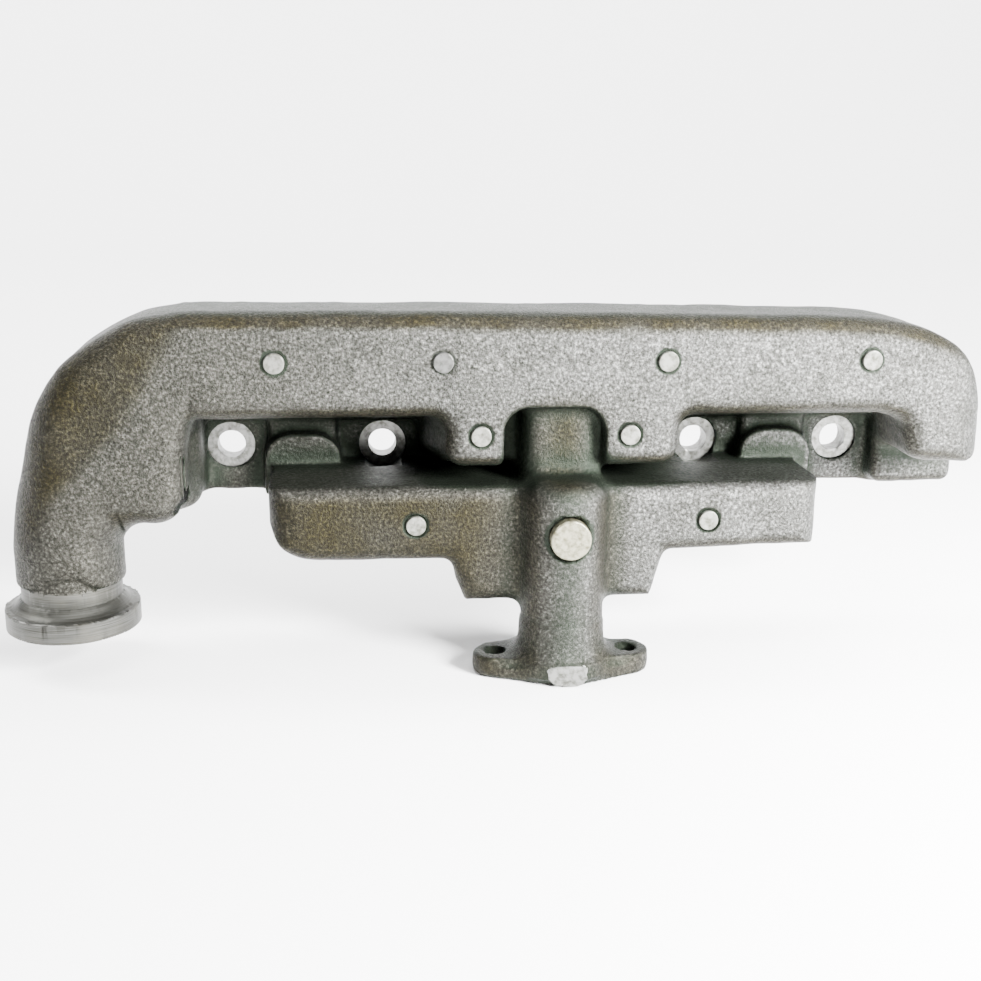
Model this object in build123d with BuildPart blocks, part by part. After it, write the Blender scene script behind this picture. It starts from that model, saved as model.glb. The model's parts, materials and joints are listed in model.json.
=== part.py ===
from build123d import *
import math
import os

os.makedirs("parts", exist_ok=True)

# Combined intake and exhaust manifold for a four-cylinder engine.
# Millimetres. X runs along the manifold, +Y points at the engine, +Z is up.
# The origin is on the mounting face, midway between the studs.

# ---- mounting face and studs ----
plate_left = -200.0
plate_right = 200.0
plate_bottom = -21.0
plate_top = 22.0
plate_thickness = 12.0
plate_corner = 18.0
rail_front = 20.0            # thicker strip that carries the exhaust log
rail_bottom = 14.0
rail_top = 27.0
stud_inner_x = 74.0
stud_outer_x = 143.0
stud_hole = 12.7             # clears a 7/16 in stud
stud_seat = 21.5             # nut seat cut into the plate
stud_seat_depth = 2.0

# ---- exhaust log ----
wall = 5.5
log_front = 67.0             # distance of the front faces from the mounting face
log_back = 19.0
log_bottom = 22.5
log_top_left = 69.5
log_top_right = 67.0
log_left = -152.0
log_right = 199.5
log_right_corner = 55.0
log_edge = 9.0
leg_inner_x = 157.0          # right port box, inner wall
leg_bottom = 0.0
leg_corner = 10.0
leg_fillet = 7.0             # where the leg meets the underside of the log

# ---- elbow and outlet ----
pipe_x = -212.0
pipe_y = -43.0
pipe_od = 46.6
neck_radius = 21.6
neck_top = -48.0
neck_bottom = -59.0
rim_radius = 28.9
rim_top = -63.0
rim_bottom = -72.0
rim_edge = 1.8
outlet_bore = 35.0
outlet_step = 4.0            # the cored passage is this much smaller than the turned bore
seat_radius = 21.0           # coned seat for the pipe's ring
seat_depth = 3.5

# ---- exhaust ports ----
end_box_left = -200.0
end_box_inner_x = -155.0
end_box_bottom = -24.0
end_box_top = 40.0
end_box_corner = 10.0
end_port_x = 178.0
end_port_width = 30.0
centre_x = 3.0
centre_port_width = 46.0
port_low = -7.0
port_high = 23.0
port_block_front = 22.0
port_block_top = 30.0
port_block_bottom = -20.0
port_block_edge = 4.0

# ---- centre block, window and heat box ----
centre_half_width = 63.0
centre_bottom = -7.0
centre_high = 46.0
centre_taper = 8.0
centre_corner = 9.0
centre_edge = 7.5
centre_setback = 0.02        # keeps the block's front just behind the log's
window_left = -24.0
window_right = 20.0
window_top = 27.5
window_back = 44.0
window_corner = 11.0
heat_left = -15.0
heat_right = 19.5
heat_front = 61.0
heat_bottom = -10.0
heat_corner = 8.0
heat_lap = 4.0               # how far the heat box runs up into the log

# ---- intake log ----
intake_left = -124.5
intake_right = 119.5
intake_top = -7.0
intake_low_left = -40.0
intake_low_right = -37.0
intake_edge = 5.5
step_left = -46.5
step_right = 49.0
step_low_left = -40.0
step_low_right = 44.0
step_bottom = -60.0
step_right_drop = 3.0
intake_left_round = 16.0
intake_right_round = 9.0
step_low_left_round = 4.5
step_low_right_round = 5.0
step_left_round = 3.0
step_right_round = 7.0
intake_back_round = 3.0
intake_port_x = 110.0
intake_port_bore = 27.0
intake_port_z = -4.0
intake_port_depth = 11.0
hood_width = 34.0
hood_top = 7.0
hood_front = 23.0
hood_corner = 12.0
web_width = 30.0
web_front = 17.0

# ---- riser, plug and carburettor flange ----
riser_x = 3.0
riser_y = -67.0
riser_od = 36.5
riser_top = -4.0
riser_bore = 26.0
riser_round = 9.0
flange_top = -82.0
flange_bottom = -91.0
flange_bolt_spacing = 58.7   # 2 5/16 in, the one inch carburettor flange
flange_tip_radius = 10.2
flange_middle_radius = 20.5
flange_hole = 9.5
lug_width = 13.5
lug_front = 22.0             # from the riser axis
lug_corner = 2.0
flange_edge = 1.2
plug_diameter = 17.5
plug_z = -25.3
plug_front = 87.0
plug_length = 6.8            # stops flush with the riser's bore
plug_chamfer = 0.8
plug_relief = 20.5
plug_relief_back = 83.2

# ---- core chaplets left in the walls ----
chaplet_head = 8.6
chaplet_pocket = 10.2
chaplet_pocket_depth = 1.2
chaplet_head_height = 1.7
chaplet_stem = 4.0
chaplet_foot = 8.0
chaplet_foot_height = 1.2
chaplet_edge = 0.4
stem_hole_past = 0.5         # how far the stem's hole runs past the wall
stem_clearance = 0.03        # radial, stem in the wall
log_chaplet_x = (-120.0, -50.0, 46.0, 136.0)
log_chaplet_z = 47.5
ear_chaplet_x = (-33.7, 30.8)
ear_chaplet_z = 15.6
intake_chaplet_x = (-61.5, 67.5)
intake_chaplet_z = -23.5
intake_rear_chaplet_z = -27.0

overlap = 2.0                # how far a joined shape runs into its neighbour
cut_past = 1.0               # how far a cut runs past the face it opens
trim_past = 5.0              # how far a trimming block runs past what it trims
seat_clearance = 9.0         # room cut in front of each nut seat
relief_length = 6.0
plug_hole_length = 20.0
full_round = 0.485           # corner radius over size that makes a section round

# ---- cores inside the casting ----
core_edge = 4.0
core_lap = 9.0               # how far a branch runs up into the log's passage
runner_inset = 0.6           # keeps the left branch's walls off the elbow's passage
bore_inset = 5.0             # the turned outlet bore stops this far below the neck's top
throat_lap = 10.0
left_branch_back = 10.0
right_branch_back = 12.0
chamber_inset = 16.0
chamber_bottom = 2.0
chamber_back = 8.0
ear_core_bottom = 9.0
left_ear_core_width = 14.0
right_ear_core_width = 20.0
heat_core_bottom = 4.0
well_left_inset = 11.0
well_right_inset = 10.0
well_lap = 3.0
runner_front = 40.0
runner_side_inset = 1.0


def front_plane(distance):
    """Plane facing the viewer, this far in front of the mounting face."""
    return Plane.XZ.offset(distance)


def block(x_low, x_high, y_front, y_back, z_low, z_high):
    """Box between two distances in front of the mounting face."""
    with BuildPart() as box:
        with BuildSketch(front_plane(y_back)):
            with Locations(((x_low + x_high) / 2, (z_low + z_high) / 2)):
                Rectangle(x_high - x_low, z_high - z_low)
        extrude(amount=y_front - y_back)
    return box.part


def bend_plane(x, z, angle):
    """Plane across the elbow where it has turned through this angle."""
    turn = math.radians(angle)
    inward = (math.sin(turn), 0, -math.cos(turn))
    along = (-math.cos(turn), 0, -math.sin(turn))
    return Plane(origin=(x, pipe_y, z), x_dir=inward, z_dir=along)


joint_step = 0.4             # the elbow is this much larger where it takes over from the log

# centre of the elbow, turn in degrees, size across the bend, size front to back, corner
log_height = log_top_left - log_bottom
log_depth = log_front - log_back
log_middle = (log_top_left + log_bottom) / 2
elbow_sections = (
    (log_left + overlap, log_middle, 0, log_height + joint_step, log_depth + joint_step, log_edge),
    (-163.5, 45.0, 10, log_height, log_depth, log_edge + 1),
    (-176.5, 41.0, 25, log_height, log_depth, log_edge + 3),
    (-189.5, 33.5, 45, log_height, log_depth, log_edge + 5),
    (-198.5, 22.0, 64, log_height + 0.5, log_depth, log_edge + 7),
    (-204.5, 4.0, 80, log_height + 0.8, log_depth - 0.5, log_edge + 9),
    (-209.0, -20.0, 84, pipe_od + 0.8, pipe_od + 0.8, log_edge + 11.5),
    (pipe_x - 1.0, -40.0, 88, pipe_od, pipe_od, pipe_od * full_round),
    (pipe_x - 0.3, neck_top - 4.0, 90, pipe_od - 0.8, pipe_od - 0.8, pipe_od * 0.475),
)


def elbow(thinner, sections):
    """Elbow through these sections, made thinner all round for the passage."""
    with BuildPart() as bend:
        for x, z, angle, width, depth, corner in sections:
            across = width - 2 * thinner
            through = depth - 2 * thinner
            rounding = min(corner - 0.75 * thinner, full_round * min(across, through))
            with BuildSketch(bend_plane(x, z, angle)):
                RectangleRounded(across, through, rounding)
        loft()
    return bend.part


# ---- outside shapes ----
with BuildPart() as exhaust_log:
    with BuildSketch(front_plane(log_back)):
        with BuildLine():
            corner_x = log_right - log_right_corner
            corner_z = log_top_right - log_right_corner
            arc_x = corner_x + log_right_corner * math.sin(math.radians(45))
            arc_z = corner_z + log_right_corner * math.cos(math.radians(45))
            Polyline((corner_x, log_top_right), (log_left, log_top_left), (log_left, log_bottom),
                     (leg_inner_x, log_bottom), (leg_inner_x, leg_bottom), (log_right, leg_bottom),
                     (log_right, corner_z))
            ThreePointArc((log_right, corner_z), (arc_x, arc_z), (corner_x, log_top_right))
        make_face()
    extrude(amount=log_depth)
    upright = exhaust_log.edges().filter_by(Axis.Y)
    inner_corner = upright.sort_by_distance((leg_inner_x, -log_front, log_bottom))[0]
    fillet(inner_corner, radius=leg_fillet)
    upright = exhaust_log.edges().filter_by(Axis.Y)
    low_corners = [upright.sort_by_distance((x, -log_front, leg_bottom))[0]
                   for x in (leg_inner_x, log_right)]
    fillet(low_corners, radius=leg_corner)
    faces = exhaust_log.faces().filter_by(Axis.Y).sort_by(Axis.Y)
    rims = ShapeList(list(faces[0].edges()) + list(faces[-1].edges()))
    left_end = [e for e in rims if abs(e.center().X - log_left) < 0.5]
    fillet([e for e in rims if e not in left_end], radius=log_edge)

with BuildPart() as end_box:
    with BuildSketch(front_plane(0)):
        with Locations(((end_box_left + end_box_inner_x) / 2, (end_box_bottom + end_box_top) / 2)):
            Rectangle(end_box_inner_x - end_box_left, end_box_top - end_box_bottom)
    extrude(amount=log_front)
    upright = end_box.edges().filter_by(Axis.Y)
    fillet(upright.sort_by_distance((end_box_inner_x, 0, end_box_bottom))[0], radius=end_box_corner)
    front = end_box.faces().sort_by(Axis.Y)[0]
    fillet(front.edges(), radius=log_edge)
    add(block(end_box_left - trim_past, end_box_inner_x + trim_past, log_back + 1, -cut_past,
              port_block_top, end_box_top + trim_past), mode=Mode.SUBTRACT)

with BuildPart() as right_port_block:
    with BuildSketch(front_plane(0)):
        with Locations(((leg_inner_x + plate_right) / 2, (port_block_bottom + port_block_top) / 2)):
            Rectangle(plate_right - leg_inner_x, port_block_top - port_block_bottom)
    extrude(amount=port_block_front)
    upright = right_port_block.edges().filter_by(Axis.Y)
    low_corner = upright.sort_by_distance((plate_right, 0, port_block_bottom))[0]
    fillet(low_corner, radius=plate_corner)
    fillet(right_port_block.faces().sort_by(Axis.Y)[0].edges(), radius=port_block_edge)

with BuildPart() as centre_block:
    with BuildSketch(front_plane(0)):
        with Locations((centre_x, (centre_bottom + centre_high) / 2)):
            Rectangle(2 * centre_half_width, centre_high - centre_bottom)
    extrude(amount=log_front - centre_setback, taper=centre_taper)
    slanted = ShapeList([e for e in centre_block.edges() if abs(e.center().Y + log_front / 2) < 5])
    fillet([e for e in slanted if e.center().Z < 10], radius=centre_corner)
    front = centre_block.faces().sort_by(Axis.Y)[0]
    fillet([e for e in front.edges() if e.center().Z < 30], radius=centre_edge)
    add(block(centre_x - centre_half_width - trim_past, centre_x + centre_half_width + trim_past,
              log_back + 1, -cut_past, port_block_top, centre_high + trim_past), mode=Mode.SUBTRACT)

with BuildPart() as window:
    with BuildSketch(front_plane(window_back)):
        middle = (window_left + window_right) / 2
        with Locations((middle, (window_top + centre_bottom) / 2)):
            Rectangle(window_right - window_left, window_top - centre_bottom)
    extrude(amount=log_front - window_back + trim_past)
    upright = window.edges().filter_by(Axis.Y)
    top_corners = [upright.sort_by_distance((x, 0, window_top))[0] for x in (window_left, window_right)]
    fillet(top_corners, radius=window_corner)

with BuildPart() as heat_box:
    with BuildSketch(front_plane(log_back + trim_past)):
        with Locations(((heat_left + heat_right) / 2, (heat_bottom + window_top + heat_lap) / 2)):
            Rectangle(heat_right - heat_left, window_top + heat_lap - heat_bottom)
    extrude(amount=heat_front - log_back - trim_past)
    front = heat_box.faces().sort_by(Axis.Y)[0]
    fillet([e for e in front.edges() if e.center().Z < window_top], radius=heat_corner)

with BuildPart() as plate:
    with BuildSketch(front_plane(0)):
        with Locations(((plate_left + plate_right) / 2, (plate_bottom + plate_top) / 2)):
            Rectangle(plate_right - plate_left, plate_top - plate_bottom)
    extrude(amount=plate_thickness)
    upright = plate.edges().filter_by(Axis.Y)
    fillet(upright.sort_by_distance((plate_right, 0, plate_bottom))[0], radius=plate_corner)

with BuildPart() as intake_log:
    with BuildSketch(front_plane(plate_thickness)):
        with BuildLine():
            Polyline((intake_left, intake_top), (intake_left, intake_low_left),
                     (step_left, intake_low_left), (step_low_left, step_bottom),
                     (step_low_right, step_bottom), (step_right, intake_low_right - step_right_drop),
                     (intake_right, intake_low_right), (intake_right, intake_top), close=True)
        make_face()
    extrude(amount=log_front - plate_thickness)
    for x, z, size in ((intake_left, intake_low_left, intake_left_round),
                       (intake_right, intake_low_right, intake_right_round),
                       (step_low_left, step_bottom, step_low_left_round),
                       (step_low_right, step_bottom, step_low_right_round),
                       (step_left, intake_low_left, step_left_round),
                       (step_right, intake_low_right - step_right_drop, step_right_round)):
        upright = intake_log.edges().filter_by(Axis.Y)
        fillet(upright.sort_by_distance((x, -log_front, z))[0], radius=size)
    front = intake_log.faces().sort_by(Axis.Y)[0]
    fillet(front.edges(), radius=intake_edge)
    back = intake_log.faces().filter_by(Axis.Y).sort_by(Axis.Y)[-1]
    fillet([e for e in back.edges() if e.center().Z < plate_bottom - overlap], radius=intake_back_round)


def port_hood(side):
    """Arched intake runner in front of the plate, with the web that ties it to the log."""
    with BuildPart() as hood:
        with BuildSketch(front_plane(0)):
            with Locations((side * intake_port_x, (hood_top + plate_bottom) / 2)):
                Rectangle(hood_width, hood_top - plate_bottom)
        extrude(amount=hood_front)
        upright = hood.edges().filter_by(Axis.Y)
        tops = [e for e in upright if e.center().Z > 0]
        fillet(tops, radius=hood_corner)
        with BuildSketch(front_plane(0)):
            with Locations((side * intake_port_x, (rail_bottom + overlap + plate_bottom) / 2)):
                Rectangle(web_width, rail_bottom + overlap - plate_bottom)
        extrude(amount=web_front)
    return hood.part


with BuildPart() as riser:
    with BuildSketch(Plane.XY.offset(flange_top - 1)):
        with Locations((riser_x, riser_y)):
            Circle(riser_od / 2)
    extrude(amount=riser_top - flange_top + 1)
    fillet(riser.edges().sort_by(Axis.Z)[-1], radius=riser_round)

with BuildPart() as carb_flange:
    with BuildSketch(Plane.XY.offset(flange_bottom)) as flange_shape:
        with Locations((riser_x, riser_y)):
            with GridLocations(flange_bolt_spacing, 0, 2, 1):
                Circle(flange_tip_radius)
            Circle(flange_middle_radius)
        make_hull()
    extrude(amount=flange_top - flange_bottom)
    fillet(carb_flange.edges().group_by(Axis.Z)[-1], radius=flange_edge)
    with BuildSketch(Plane.XY.offset(flange_bottom)):
        with Locations((riser_x, riser_y - lug_front / 2)):
            RectangleRounded(lug_width, lug_front, lug_corner)
    extrude(amount=flange_top - flange_bottom)
    with BuildSketch(Plane.XY.offset(flange_bottom), mode=Mode.PRIVATE) as bolt_holes:
        with Locations((riser_x, riser_y)):
            with GridLocations(flange_bolt_spacing, 0, 2, 1):
                Circle(flange_hole / 2)
    extrude(bolt_holes.sketch, amount=flange_top - flange_bottom + cut_past, mode=Mode.SUBTRACT)

with BuildPart() as outlet_collar:
    with BuildSketch(Plane.XZ.offset(-pipe_y)):
        with BuildLine():
            Polyline((pipe_x, neck_top), (pipe_x + neck_radius, neck_top),
                     (pipe_x + neck_radius, neck_bottom), (pipe_x + rim_radius, rim_top),
                     (pipe_x + rim_radius, rim_bottom), (pipe_x, rim_bottom), close=True)
        make_face()
    revolve(axis=Axis((pipe_x, pipe_y, 0), (0, 0, 1)))
    rings = outlet_collar.edges().filter_by(GeomType.CIRCLE)
    fillet([e for e in rings if e.radius > rim_radius - 0.1], radius=rim_edge)

# ---- passages ----
roof = log_top_right - wall
floor = log_bottom + wall
inner_front = log_front - wall
inner_back = log_back + wall

with BuildPart() as passages:
    # exhaust log from the elbow to the far end
    with BuildSketch(front_plane(inner_back)):
        with BuildLine():
            corner_x = log_right - log_right_corner
            corner_z = log_top_right - log_right_corner
            inner_corner_radius = log_right_corner - wall
            arc_x = corner_x + inner_corner_radius * math.sin(math.radians(45))
            arc_z = corner_z + inner_corner_radius * math.cos(math.radians(45))
            Polyline((corner_x, roof), (log_left + overlap, log_top_left - wall),
                     (log_left + overlap, floor), (leg_inner_x + wall, floor),
                     (leg_inner_x + wall, leg_bottom + wall), (log_right - wall, leg_bottom + wall),
                     (log_right - wall, corner_z))
            ThreePointArc((log_right - wall, corner_z), (arc_x, arc_z), (corner_x, roof))
        make_face()
    extrude(amount=inner_front - inner_back)
    fillet(passages.edges().filter_by(Axis.X), radius=core_edge)
    throat = outlet_bore - outlet_step + 2 * wall
    throat_start = (pipe_x - 0.2, neck_top - overlap, 90, throat, throat, throat * full_round)
    throat_end = (pipe_x, neck_top - throat_lap, 90, throat, throat, throat * full_round)
    add(elbow(wall, elbow_sections[:-1] + (throat_start, throat_end)))
    # outlet bore and the coned seat
    with BuildSketch(Plane.XY.offset(rim_bottom)):
        with Locations((pipe_x, pipe_y)):
            Circle(outlet_bore / 2)
    extrude(amount=neck_top - rim_bottom - bore_inset)
    with BuildSketch(Plane.XY.offset(rim_bottom)):
        with Locations((pipe_x, pipe_y)):
            Circle(seat_radius)
    with BuildSketch(Plane.XY.offset(rim_bottom + seat_depth)):
        with Locations((pipe_x, pipe_y)):
            Circle(outlet_bore / 2)
    loft()
    # end ports
    add(block(-end_port_x - end_port_width / 2, end_box_inner_x - wall, inner_front - runner_inset,
              inner_back + runner_inset, end_box_bottom + wall, floor + core_lap))
    add(block(-end_port_x - end_port_width / 2, end_box_inner_x - wall, inner_back + overlap,
              left_branch_back, end_box_bottom + wall, port_high))
    add(block(end_port_x - end_port_width / 2, end_port_x + end_port_width / 2,
              inner_back + overlap, right_branch_back, leg_bottom + wall, port_high))
    for side in (-1, 1):
        add(block(side * end_port_x - end_port_width / 2, side * end_port_x + end_port_width / 2,
                  port_block_front - wall, -cut_past, port_low, port_high))
    # siamesed centre port, its chamber, the two ears and the heat box
    add(block(centre_x - centre_port_width / 2, centre_x + centre_port_width / 2,
              inner_back, -cut_past, port_low, port_high))
    chamber_left = centre_x - centre_half_width + chamber_inset
    chamber_right = centre_x + centre_half_width - chamber_inset
    chamber_front = window_back - wall
    add(block(chamber_left, chamber_right, chamber_front, inner_back - cut_past,
              chamber_bottom, floor + core_lap))
    add(block(chamber_left, chamber_right, inner_back, chamber_back, chamber_bottom, port_high))
    left_ear_side = window_left - wall
    right_ear_side = window_right + wall
    add(block(left_ear_side - left_ear_core_width, left_ear_side, inner_front,
              chamber_front - cut_past, ear_core_bottom, floor + core_lap))
    add(block(right_ear_side, right_ear_side + right_ear_core_width, inner_front,
              chamber_front - cut_past, ear_core_bottom, floor + core_lap))
    add(block(heat_left + wall, heat_right - wall, heat_front - wall,
              chamber_front - cut_past, heat_core_bottom, floor + core_lap))
    # intake log, the two runners and the riser
    core_floor = intake_low_right + wall
    core_roof = intake_top - wall
    add(block(intake_left + wall, intake_right - wall, inner_front, plate_thickness + wall,
              core_floor, core_roof))
    add(block(step_left + well_left_inset, step_right - well_right_inset, inner_front,
              plate_thickness + wall, step_bottom + wall, core_floor + well_lap))
    for side in (-1, 1):
        x = side * intake_port_x
        half_runner = hood_width / 2 - wall - runner_side_inset
        runner_left = max(x - half_runner, intake_left + wall)
        runner_right = min(x + half_runner, intake_right - wall)
        runner_back = intake_port_depth - overlap
        add(block(runner_left, runner_right, runner_front, runner_back, core_floor, core_roof))
        add(block(runner_left, runner_right, hood_front - wall, runner_back,
                  core_floor, hood_top - wall))
        with BuildSketch(front_plane(-cut_past)):
            with Locations((x, intake_port_z)):
                Circle(intake_port_bore / 2)
        extrude(amount=intake_port_depth + cut_past)
    with BuildSketch(Plane.XY.offset(flange_bottom - cut_past)):
        with Locations((riser_x, riser_y)):
            Circle(riser_bore / 2)
    extrude(amount=core_roof - flange_bottom + cut_past)

# ---- the casting ----
log_stations = [(x, log_chaplet_z, log_front, -1) for x in log_chaplet_x]
log_rear_stations = [(x, log_chaplet_z, log_back, 1) for x in log_chaplet_x]
ear_stations = [(x, ear_chaplet_z, log_front, -1) for x in ear_chaplet_x]
intake_stations = [(x, intake_chaplet_z, log_front, -1) for x in intake_chaplet_x]
intake_rear_stations = [(x, intake_rear_chaplet_z, plate_thickness, 1) for x in intake_chaplet_x]
stations = (log_stations + log_rear_stations + ear_stations + intake_stations
            + intake_rear_stations)


def wall_plane(x, z, face, way):
    """Plane on a wall's outer face whose normal points out of the casting."""
    return Plane(origin=(x, -face, z), x_dir=(1, 0, 0), z_dir=(0, way, 0))


with BuildPart() as manifold_casting:
    add(exhaust_log.part)
    add(elbow(0, elbow_sections))
    add(end_box.part)
    add(right_port_block.part)
    add(centre_block.part)
    add(window.part, mode=Mode.SUBTRACT)
    add(heat_box.part)
    add(plate.part)
    add(block(end_box_inner_x - trim_past, leg_inner_x + trim_past, rail_front, 0,
              rail_bottom, rail_top))
    add(intake_log.part)
    for side in (-1, 1):
        add(port_hood(side))
    add(riser.part)
    add(carb_flange.part)
    add(outlet_collar.part)
    add(passages.part, mode=Mode.SUBTRACT)
    # stud holes and the nut seats round them
    for x in (-stud_outer_x, -stud_inner_x, stud_inner_x, stud_outer_x):
        with BuildSketch(front_plane(plate_thickness - stud_seat_depth)):
            with Locations((x, 0)):
                Circle(stud_seat / 2)
        extrude(amount=seat_clearance, mode=Mode.SUBTRACT)
        with BuildSketch(front_plane(-cut_past)):
            with Locations((x, 0)):
                Circle(stud_hole / 2)
        extrude(amount=plate_thickness + 2 * cut_past, mode=Mode.SUBTRACT)
    # holes the chaplets were cast into
    for x, z, face, way in stations:
        with BuildSketch(wall_plane(x, z, face, way)):
            Circle(chaplet_pocket / 2)
        extrude(amount=-chaplet_pocket_depth, mode=Mode.SUBTRACT)
        with BuildSketch(wall_plane(x, z, face, way)):
            Circle(chaplet_stem / 2 + stem_clearance)
        extrude(amount=-wall - stem_hole_past, mode=Mode.SUBTRACT)
    # hole for the riser plug and the groove round it
    with BuildSketch(front_plane(plug_relief_back)):
        with Locations((riser_x, plug_z)):
            Circle(plug_relief / 2)
    extrude(amount=relief_length, mode=Mode.SUBTRACT)
    with BuildSketch(front_plane(-riser_y)):
        with Locations((riser_x, plug_z)):
            Circle(plug_diameter / 2)
    extrude(amount=plug_hole_length, mode=Mode.SUBTRACT)

manifold_casting.part.label = "manifold_casting"
export_step(manifold_casting.part, "parts/manifold_casting.step")


# ---- chaplets: a head outside, a stem through the wall, a foot inside ----
def chaplet(x, z, face, way):
    seat = wall_plane(x, z, face, way)
    with BuildPart() as stud:
        with BuildSketch(seat.offset(-chaplet_pocket_depth)):
            Circle(chaplet_head / 2)
        extrude(amount=chaplet_head_height)
        fillet(stud.edges().filter_by(GeomType.CIRCLE).sort_by_distance(
            (x, -face + way * log_front, z))[0], radius=chaplet_edge)
        with BuildSketch(seat.offset(-chaplet_pocket_depth)):
            Circle(chaplet_stem / 2)
        extrude(amount=chaplet_pocket_depth - wall)
        with BuildSketch(seat.offset(-wall)):
            Circle(chaplet_foot / 2)
        extrude(amount=-chaplet_foot_height)
    return stud.part


def export_row(name, row):
    """One node for each chaplet in a row, numbered from the elbow end."""
    for number, (x, z, face, way) in enumerate(row, start=1):
        node = name + "_" + str(number)
        with BuildPart() as piece:
            add(chaplet(x, z, face, way))
        piece.part.label = node
        export_step(piece.part, "parts/" + node + ".step")


export_row("log_front_chaplet", log_stations)
export_row("log_rear_chaplet", log_rear_stations)
export_row("ear_chaplet", ear_stations)
export_row("intake_front_chaplet", intake_stations)
export_row("intake_rear_chaplet", intake_rear_stations)

# ---- riser plug, pressed into the riser's front wall ----
with BuildPart() as riser_plug:
    with BuildSketch(front_plane(plug_front)):
        with Locations((riser_x, plug_z)):
            Circle(plug_diameter / 2 - stem_clearance)
    extrude(amount=-plug_length)
    fillet(riser_plug.edges().sort_by(Axis.Y)[0], radius=plug_chamfer)

riser_plug.part.label = "riser_plug"
export_step(riser_plug.part, "parts/riser_plug.step")
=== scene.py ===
import json
import math

import bpy
import numpy as np
from mathutils import Matrix, Vector


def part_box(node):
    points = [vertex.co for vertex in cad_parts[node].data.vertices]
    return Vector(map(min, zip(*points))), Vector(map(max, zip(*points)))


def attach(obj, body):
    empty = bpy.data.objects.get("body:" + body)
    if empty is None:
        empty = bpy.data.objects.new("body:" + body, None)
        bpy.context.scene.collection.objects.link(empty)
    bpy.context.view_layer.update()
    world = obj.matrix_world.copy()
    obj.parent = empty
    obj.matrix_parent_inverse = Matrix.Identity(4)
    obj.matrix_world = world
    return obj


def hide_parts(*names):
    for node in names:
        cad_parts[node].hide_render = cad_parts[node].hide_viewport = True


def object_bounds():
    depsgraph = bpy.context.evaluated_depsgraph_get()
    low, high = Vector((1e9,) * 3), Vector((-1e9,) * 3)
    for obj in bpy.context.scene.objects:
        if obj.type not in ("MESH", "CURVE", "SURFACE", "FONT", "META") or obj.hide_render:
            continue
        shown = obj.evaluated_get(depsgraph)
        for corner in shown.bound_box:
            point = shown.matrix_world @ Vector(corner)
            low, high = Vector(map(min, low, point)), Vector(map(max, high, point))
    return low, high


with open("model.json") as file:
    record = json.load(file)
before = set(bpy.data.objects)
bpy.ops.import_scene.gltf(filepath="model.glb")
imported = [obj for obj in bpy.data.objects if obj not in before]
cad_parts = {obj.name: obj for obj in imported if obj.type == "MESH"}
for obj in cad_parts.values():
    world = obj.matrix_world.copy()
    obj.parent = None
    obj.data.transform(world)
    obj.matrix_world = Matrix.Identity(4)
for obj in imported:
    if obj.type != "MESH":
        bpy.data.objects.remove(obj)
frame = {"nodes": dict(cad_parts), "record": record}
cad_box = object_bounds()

# The casting is sculpted as a signed distance field on a regular grid, in millimetres:
# negative inside the iron. Joins between shapes are blended, as a foundry pattern's are.
# Machined faces are then snapped back to their exact planes and cylinders.

MM = 0.001
grid_step = 1.0
margin = 4.0


# ---- places read from the frame ----
def node_centre(name):
    """The middle of a piece's box, in millimetres."""
    low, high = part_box(name)
    return (np.array(low) + np.array(high)) / 2 / MM


mounts = {m["name"]: m for m in frame["record"]["mounts"]}


def mount_place(name):
    """Where a mount is, in millimetres."""
    return np.array(mounts[name]["pos_m"]) / MM


box_low = np.array(cad_box[0]) / MM
box_high = np.array(cad_box[1]) / MM
inner_spacing = mounts["inner_studs"]["dims"]["spacing_x_mm"]
outer_spacing = mounts["outer_studs"]["dims"]["spacing_x_mm"]
stud_x = [-outer_spacing / 2, -inner_spacing / 2, inner_spacing / 2, outer_spacing / 2]
stud_radius = mounts["inner_studs"]["dims"]["hole_r_mm"]
riser_x, riser_y, flange_bottom = mount_place("carb_studs")
bolt_spacing = mounts["carb_studs"]["dims"]["spacing_x_mm"]
bolt_radius = mounts["carb_studs"]["dims"]["hole_r_mm"]
riser_bore = mounts["carb_bore"]["dims"]["r_mm"]
pipe_x, pipe_y, _ = mount_place("outlet_bore")
outlet_bore = mounts["outlet_bore"]["dims"]["r_mm"]
rim_radius = mounts["outlet_rim"]["dims"]["r_mm"]
plug_place = node_centre("riser_plug")

# ---- sizes, in millimetres ----
wall = 5.5
front = 67.0
log_back = 19.0
log_low = 22.5
log_high = 68.0
log_high_right = 65.8
log_end = 196.5
plate_thick = 12.0
plate_low = -21.0
seat_radius = 10.75
seat_depth = 2.0
rim_low = -72.0
rim_high = -63.0
neck_radius = 21.6
neck_low = -59.0
neck_high = -51.5
log_edge = 11.0            # how far the log's edges are rounded
full_round = 23.6          # and the pipe's
left_box = (-200, -159, -24, 40)
box_blend = 9
elbow_tube_radius = 17.2
riser_radius = 18.2
riser_flare = 5.0
riser_flare_height = 3.5
flange_tip = 10.2
flange_middle = 21.0
flange_step_middle = 15.5
flange_thick = 5.6
flange_step_low = 2.0
flange_step_high = 9.0
lug_half_width = 6.8
lug_reach = 21.8
lug_height = 8.4
hood_x = 110.5
hood_half_width = 17.2
hood_round = 12.5
hood_high = 7.2
hood_front = -23.0
port_x = 110
port_z = -4
port_radius = 13.5
port_half_width = 10.5
air_left = -119
air_right = 114
air_low = -31.5
air_high = -12.5
passage_round = 4.0
plug_hole = 8.75
plug_relief = 10.2
plug_relief_back = -83.0
chaplet_hole = 5.15
chaplet_hole_depth = 1.7
stem_hole = 2.0
stem_depth = 8
fine_ripple = (5.0, 0.16, 3)       # spacing, height and seed of the skin's unevenness
broad_ripple = (16.0, 0.30, 5)
most_triangles_kept = 190000


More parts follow.
